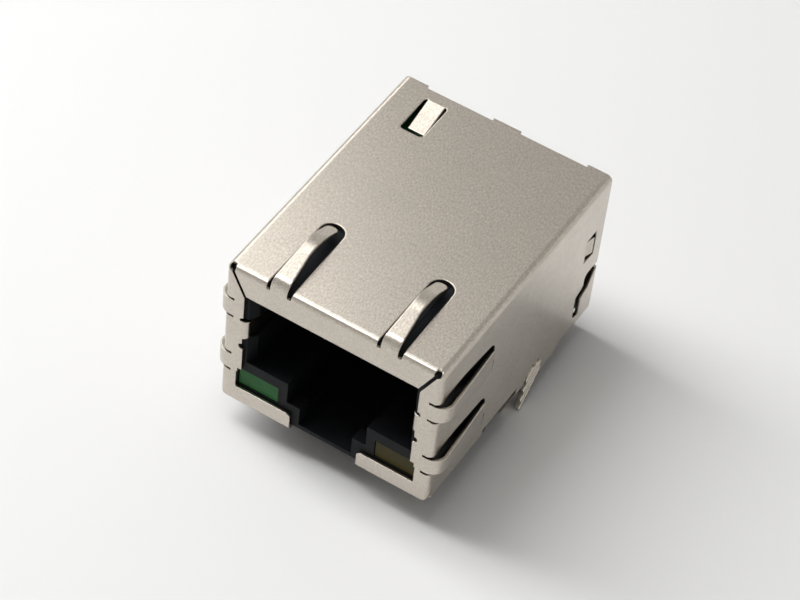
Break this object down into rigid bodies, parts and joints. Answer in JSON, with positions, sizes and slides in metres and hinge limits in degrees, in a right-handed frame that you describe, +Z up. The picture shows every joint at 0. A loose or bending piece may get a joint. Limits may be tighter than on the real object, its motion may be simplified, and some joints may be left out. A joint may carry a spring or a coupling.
{
  "type": "rj45 board jack",
  "caption": "Shielded modular plug jack for a printed board, with sprung earth fingers, indicator lights at the mouth and transformers inside.",
  "frame": {"origin": "on the board's surface, midway between the two locating pegs", "axes": "+Z up out of the board, +Y from the mouth towards the rear, the plug comes in along +Y, X across"},
  "size_m": [0.0172, 0.0213, 0.0162],
  "materials": {
    "shield_metal": "nickel-plated sheet, satin",
    "black_plastic": "moulded, fine matt",
    "board_laminate": "solder mask over glass laminate",
    "green_epoxy": "tinted epoxy, clear",
    "amber_epoxy": "tinted epoxy, clear",
    "gilt_wire": "gold flash over bronze spring wire",
    "tinned_pin": "matt tin plate",
    "ferrite": "sintered, matt",
    "enamelled_wire": "enamelled copper",
    "resistor_body": "fired glaze with tinned ends",
    "chip_body": "fired ceramic with tinned ends"
  },
  "bodies": {
    "root": {"front_shield": "shield_metal", "rear_shield": "shield_metal", "housing": "black_plastic", "contact_block": "black_plastic", "circuit_board": "board_laminate", "transformer_case": "black_plastic", "light_right": "amber_epoxy", "light_left": "green_epoxy", "capacitor": "chip_body", "contact_1": "gilt_wire", "board_pin_1": "tinned_pin", "contact_2": "gilt_wire", "board_pin_2": "tinned_pin", "contact_3": "gilt_wire", "board_pin_3": "tinned_pin", "contact_4": "gilt_wire", "board_pin_4": "tinned_pin", "contact_5": "gilt_wire", "board_pin_5": "tinned_pin", "contact_6": "gilt_wire", "board_pin_6": "tinned_pin", "contact_7": "gilt_wire", "board_pin_7": "tinned_pin", "contact_8": "gilt_wire", "board_pin_8": "tinned_pin", "light_pin_right_1": "tinned_pin", "light_pin_right_2": "tinned_pin", "light_pin_left_1": "tinned_pin", "light_pin_left_2": "tinned_pin", "transformer_core_1": "ferrite", "transformer_winding_1": "enamelled_wire", "resistor_1": "resistor_body", "transformer_core_2": "ferrite", "transformer_winding_2": "enamelled_wire", "resistor_2": "resistor_body", "transformer_core_3": "ferrite", "transformer_winding_3": "enamelled_wire", "resistor_3": "resistor_body", "transformer_core_4": "ferrite", "transformer_winding_4": "enamelled_wire", "resistor_4": "resistor_body"}
  },
  "joints": []
}
